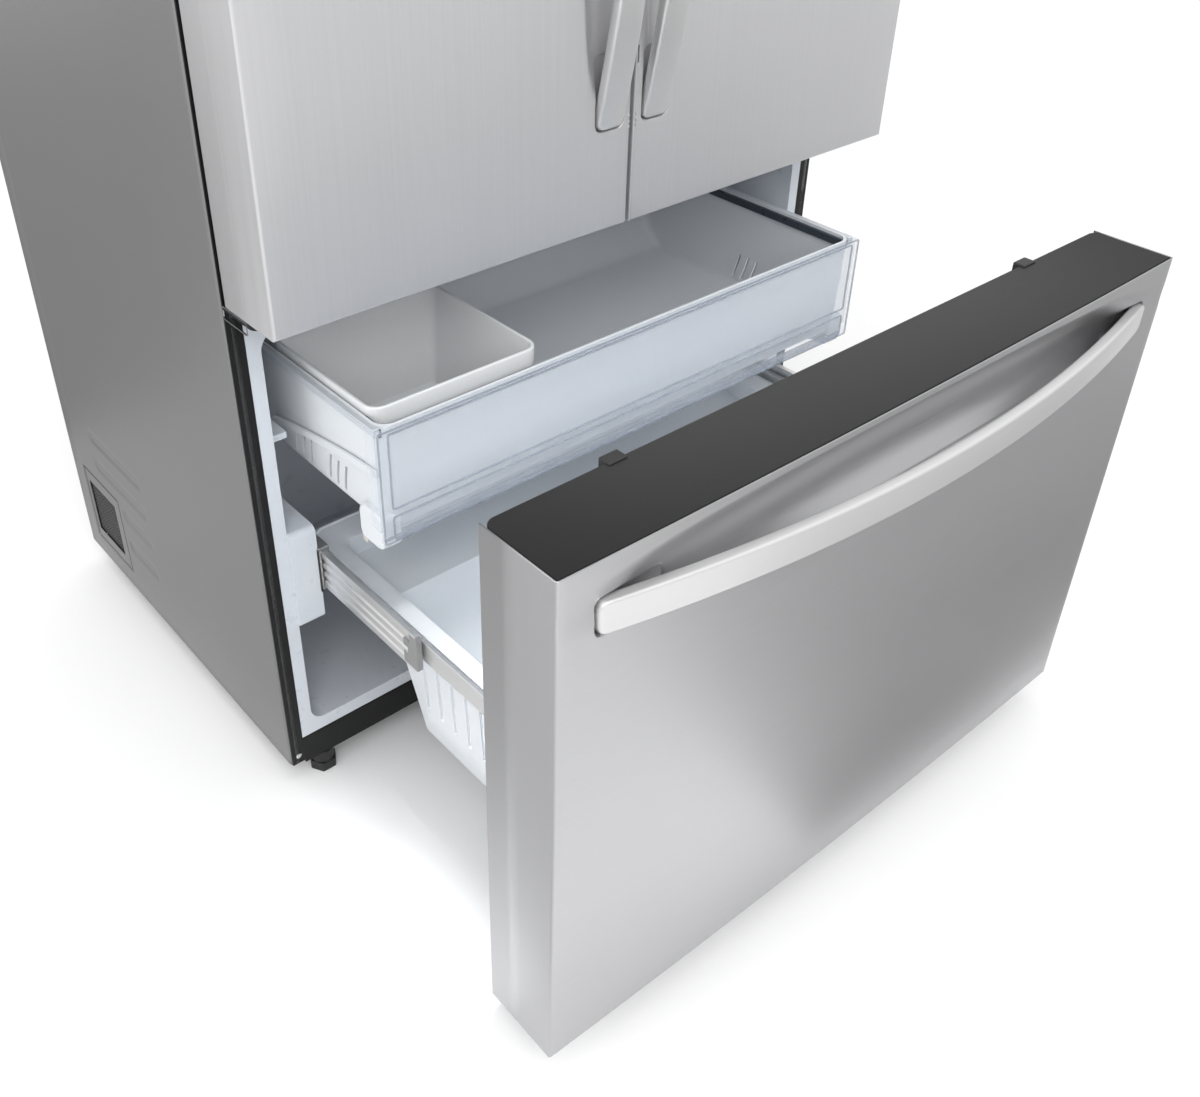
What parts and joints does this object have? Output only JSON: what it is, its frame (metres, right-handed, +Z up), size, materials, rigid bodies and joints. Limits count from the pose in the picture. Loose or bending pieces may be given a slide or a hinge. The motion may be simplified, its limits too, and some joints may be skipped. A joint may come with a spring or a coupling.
{
  "type": "french door refrigerator",
  "caption": "Counter-depth refrigerator with twin hinged upper doors and a pull-out freezer drawer below, drawn open, with bowed bar handles.",
  "frame": {"origin": "on the floor, below the middle of the whole box with the freezer drawer drawn out as at rest", "axes": "+X to the right seen from the front, +Y to the back, +Z up"},
  "size_m": [0.908, 1.204, 1.784],
  "materials": {
    "stainless": "brushed stainless sheet, satin",
    "handle_steel": "brushed stainless bar with polished edges",
    "cabinet_paint": "smooth satin grey enamel",
    "frame_black": "satin black enamel",
    "vent_dark": "fine dark mesh",
    "liner_white": "vacuum-formed white liner, soft gloss",
    "door_core": null,
    "cap_charcoal": "moulded charcoal cap, fine grain",
    "gasket_grey": "soft dark grey magnetic gasket",
    "tray_white": "translucent white moulding",
    "clear_plastic": "clear polystyrene",
    "shelf_glass": "toughened glass",
    "shelf_trim": "white and pale grey mouldings",
    "rail_steel": "bright zinc-plated steel",
    "black_steel": "black coated steel with bright worn edges",
    "hinge_cover": "moulded grey cover",
    "foam": null,
    "rear_sheet": "galvanised rear sheet",
    "machine_black": "black enamel",
    "evaporator_alu": "bare finned aluminium",
    "fan_plastic": "dark moulded plastic",
    "foot_plastic": "hard black plastic",
    "galvanised": "zinc-plated pressed steel",
    "valve_white": "white moulded plastic",
    "screw_steel": "bright screw heads"
  },
  "bodies": {
    "cabinet": {"air_duct": "shelf_trim", "back_panel": "rear_sheet", "base_frame": "frame_black", "cabinet_shell": "cabinet_paint", "centre_hinges": "black_steel", "compressor": "machine_black", "condenser_coil": "machine_black", "control_panel": "shelf_trim", "drain_pan": "fan_plastic", "drawer_rails_outer": "rail_steel", "evaporator": "evaporator_alu", "evaporator_cover": "shelf_trim", "fan_motors": "machine_black", "fan_shroud": "fan_plastic", "foam_insulation": "foam", "frame_screws": "screw_steel", "freezer_liner": "liner_white", "fridge_liner": "liner_white", "front_feet": "foot_plastic", "front_frame": "frame_black", "hinge_covers": "hinge_cover", "ice_maker": "shelf_trim", "machine_cover": "rear_sheet", "mullion_beam": "frame_black", "power_inlet": "foot_plastic", "roller_brackets": "galvanised", "shelf_frames": "shelf_trim", "shelf_glass": "shelf_glass", "side_vents": "vent_dark", "upper_hinges": "galvanised", "water_valve": "valve_white"},
    "left_door": {"left_door_bins": "clear_plastic", "left_door_gasket": "gasket_grey", "left_door_handle": "handle_steel", "left_door_liner": "door_core", "left_door_skin": "stainless"},
    "right_door": {"right_door_bins": "clear_plastic", "right_door_gasket": "gasket_grey", "right_door_handle": "handle_steel", "right_door_liner": "door_core", "right_door_skin": "stainless"},
    "flip_bar": {"flip_mullion": "cap_charcoal"},
    "freezer_drawer": {"drawer_basket": "tray_white", "drawer_gasket": "gasket_grey", "drawer_handle": "handle_steel", "drawer_liner": "door_core", "drawer_rails_inner": "rail_steel", "drawer_skin": "stainless", "drawer_top_cap": "cap_charcoal"},
    "rail_slides": {"drawer_rails_middle": "rail_steel"},
    "ice_tray": {"ice_bin": "tray_white", "tray_front": "clear_plastic", "upper_tray": "tray_white"},
    "left_crisper": {"crisper_left": "clear_plastic"},
    "right_crisper": {"crisper_right": "clear_plastic"},
    "pantry": {"pantry_drawer": "clear_plastic"},
    "condenser_rotor": {"condenser_fan": "fan_plastic"},
    "evaporator_rotor": {"evaporator_fan": "fan_plastic"},
    "left_wheel": {"left_roller": "foot_plastic"},
    "right_wheel": {"right_roller": "foot_plastic"}
  },
  "joints": [
    {"name": "left_door_hinge", "type": "hinge", "parent": "cabinet", "child": "left_door", "pos_m": [-0.44, -0.079, 1.232], "axis": [0, 0, -1], "range_deg": [0, 125]},
    {"name": "right_door_hinge", "type": "hinge", "parent": "cabinet", "child": "right_door", "pos_m": [0.44, -0.079, 1.232], "axis": [0, 0, 1], "range_deg": [0, 125]},
    {"name": "flip_bar_hinge", "type": "hinge", "parent": "left_door", "child": "flip_bar", "pos_m": [-0.03, -0.0205, 1.221], "axis": [0, 0, -1], "range_deg": [0, 88]},
    {"name": "freezer_drawer_slide", "type": "slide", "parent": "cabinet", "child": "freezer_drawer", "axis": [0, -1, 0], "range_m": [-0.414, 0.05]},
    {"name": "rail_slide", "type": "slide", "parent": "cabinet", "child": "rail_slides", "axis": [0, -1, 0], "range_m": [-0.2075, 0.0255]},
    {"name": "ice_tray_slide", "type": "slide", "parent": "cabinet", "child": "ice_tray", "axis": [0, -1, 0], "range_m": [-0.2002, 0.0244]},
    {"name": "left_crisper_slide", "type": "slide", "parent": "cabinet", "child": "left_crisper", "axis": [0, -1, 0], "range_m": [0, 0.05]},
    {"name": "right_crisper_slide", "type": "slide", "parent": "cabinet", "child": "right_crisper", "axis": [0, -1, 0], "range_m": [0, 0.05]},
    {"name": "pantry_slide", "type": "slide", "parent": "cabinet", "child": "pantry", "axis": [0, -1, 0], "range_m": [0, 0.05]},
    {"name": "condenser_fan_spin", "type": "hinge", "parent": "cabinet", "child": "condenser_rotor", "pos_m": [-0.128, 0.494, 0.145], "axis": [1, 0, 0], "continuous": true},
    {"name": "evaporator_fan_spin", "type": "hinge", "parent": "cabinet", "child": "evaporator_rotor", "pos_m": [0, 0.468, 0.585], "axis": [0, 1, 0], "continuous": true},
    {"name": "left_roller_spin", "type": "hinge", "parent": "cabinet", "child": "left_wheel", "pos_m": [-0.4, 0.554, 0.018], "axis": [1, 0, 0], "continuous": true},
    {"name": "right_roller_spin", "type": "hinge", "parent": "cabinet", "child": "right_wheel", "pos_m": [0.4, 0.554, 0.018], "axis": [1, 0, 0], "continuous": true}
  ],
  "couplings": [
    {"joint": "rail_slide", "follows": "freezer_drawer_slide", "ratio": 0.5},
    {"joint": "ice_tray_slide", "follows": "freezer_drawer_slide", "ratio": 0.483}
  ]
}
